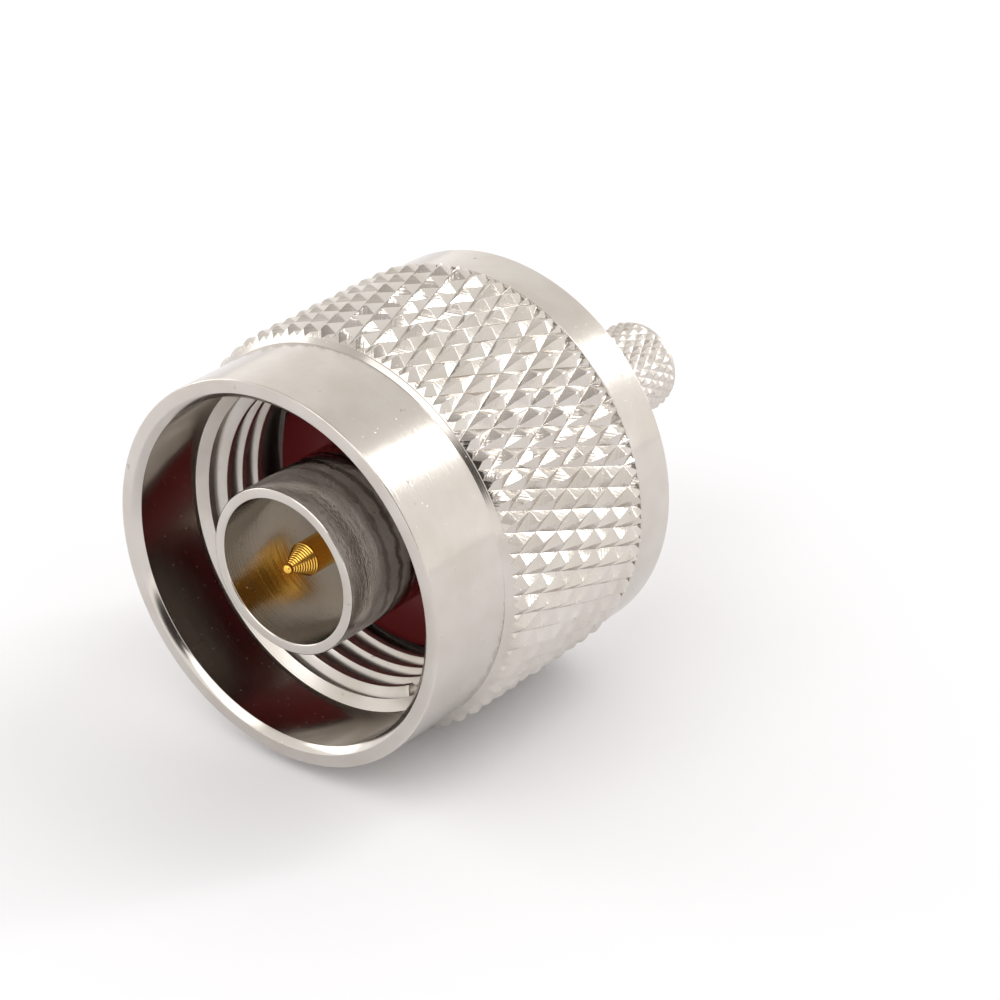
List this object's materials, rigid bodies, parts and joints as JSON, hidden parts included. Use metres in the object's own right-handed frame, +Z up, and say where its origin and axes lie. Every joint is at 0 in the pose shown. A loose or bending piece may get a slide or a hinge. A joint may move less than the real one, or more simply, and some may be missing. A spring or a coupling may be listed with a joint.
{
  "type": "n type connector",
  "caption": "Straight coaxial cable plug with a knurled coupling nut, centre pin, sealing gasket and knurled crimp stem.",
  "frame": {"origin": "on the mating axis, at the front rim of the outer conductor, which is the interface's reference plane", "axes": "+Y along the mating axis, from the mouth towards the cable; +Z up when it lies on its coupling nut"},
  "size_m": [0.0198, 0.0274, 0.0198],
  "materials": {
    "nickel_nut": "bright nickel plate on turned brass, fine turning lines, sharp knurl",
    "nickel_body": "bright nickel plate on turned brass",
    "spring_bronze": "plated spring bronze",
    "gold": "gold plate on a turned pin with fine ring marks",
    "silicone": "dark red silicone rubber, satin",
    "ptfe": "white PTFE, waxy"
  },
  "bodies": {
    "root": {"outer_conductor": "nickel_body", "gasket": "silicone", "front_insulator": "ptfe", "rear_insulator": "ptfe", "centre_pin": "gold", "crimp_stem": "nickel_body"},
    "ring": {"snap_ring": "spring_bronze"},
    "nut": {"coupling_nut": "nickel_nut"}
  },
  "joints": [
    {"name": "ring_float", "type": "slide", "parent": "root", "child": "ring", "axis": [0, 1, 0], "range_m": [0, 0.00025]},
    {"name": "nut_spin", "type": "hinge", "parent": "ring", "child": "nut", "pos_m": [0, 0.0131, 0], "axis": [0, 1, 0], "continuous": true}
  ]
}
